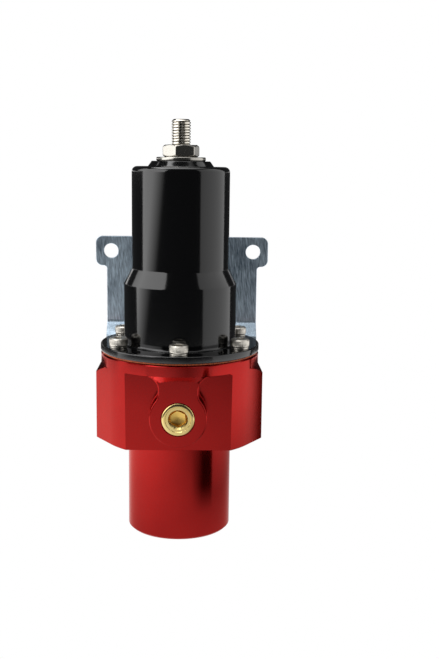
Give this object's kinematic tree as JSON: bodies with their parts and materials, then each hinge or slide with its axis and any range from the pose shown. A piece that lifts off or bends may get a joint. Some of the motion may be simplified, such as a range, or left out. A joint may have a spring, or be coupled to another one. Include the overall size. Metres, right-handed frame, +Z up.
{
  "type": "fuel pressure regulator",
  "caption": "Adjustable bypass fuel pressure regulator: machined body with inlet, outlet and gauge ports, spring bonnet with adjusting screw, and folded mounting bracket.",
  "frame": {"origin": "centre of the outlet face, on the axis of the body, bonnet and adjusting screw", "axes": "+Z up the axis to the adjusting screw, -Y the side of the gauge port, +Y the bracket"},
  "size_m": [0.0644, 0.0634, 0.1404],
  "materials": {
    "red_anodised": "gloss red anodised",
    "black_anodised": "gloss black anodised",
    "zinc_plate": "zinc plated sheet",
    "stainless": "bright",
    "bright_steel": "bright plated",
    "yellow_brass": "machined",
    "nitrile": "matt",
    "diaphragm_cloth": "fabric-reinforced rubber",
    "spring_steel": "oiled"
  },
  "bodies": {
    "housing": {"body": "red_anodised", "valve_seat": "yellow_brass", "seat_o_ring": "nitrile", "gauge_plug": "yellow_brass", "diaphragm": "diaphragm_cloth", "bonnet": "black_anodised", "lock_washers": "stainless", "cover_screws": "stainless", "main_spring": "spring_steel", "stud_o_ring": "nitrile", "bracket": "zinc_plate", "bracket_washers": "stainless", "bracket_screws": "stainless"},
    "valve": {"valve_stem": "stainless", "valve_disc": "nitrile", "diaphragm_lower_plate": "stainless", "lower_spring_cup": "stainless", "diaphragm_nut": "stainless"},
    "spring_seat": {"upper_spring_seat": "stainless"},
    "adjuster": {"adjusting_screw": "bright_steel"},
    "washer": {"seal_washer": "bright_steel"},
    "nut": {"jam_nut": "bright_steel"}
  },
  "joints": [
    {"name": "valve_lift", "type": "slide", "parent": "housing", "child": "valve", "axis": [0, 0, 1], "range_m": [0, 0.0012], "deforming": ["diaphragm", "main_spring"]},
    {"name": "adjuster_travel", "type": "slide", "parent": "housing", "child": "spring_seat", "axis": [0, 0, 1], "range_m": [-0.00544, 0.00226], "deforming": ["main_spring"]},
    {"name": "adjuster_turn", "type": "hinge", "parent": "spring_seat", "child": "adjuster", "pos_m": [0, 0, 0.13], "axis": [0, 0, 1], "range_deg": [-2165, 905]},
    {"name": "nut_lift", "type": "slide", "parent": "housing", "child": "washer", "axis": [0, 0, 1], "range_m": [0, 0.00181]},
    {"name": "nut_turn", "type": "hinge", "parent": "washer", "child": "nut", "pos_m": [0, 0, 0.13], "axis": [0, 0, 1], "range_deg": [0, 725]}
  ],
  "couplings": [
    {"joint": "adjuster_turn", "follows": "adjuster_travel", "rad_per_m": 6926.3},
    {"joint": "nut_turn", "follows": "nut_lift", "rad_per_m": 6926.3}
  ]
}
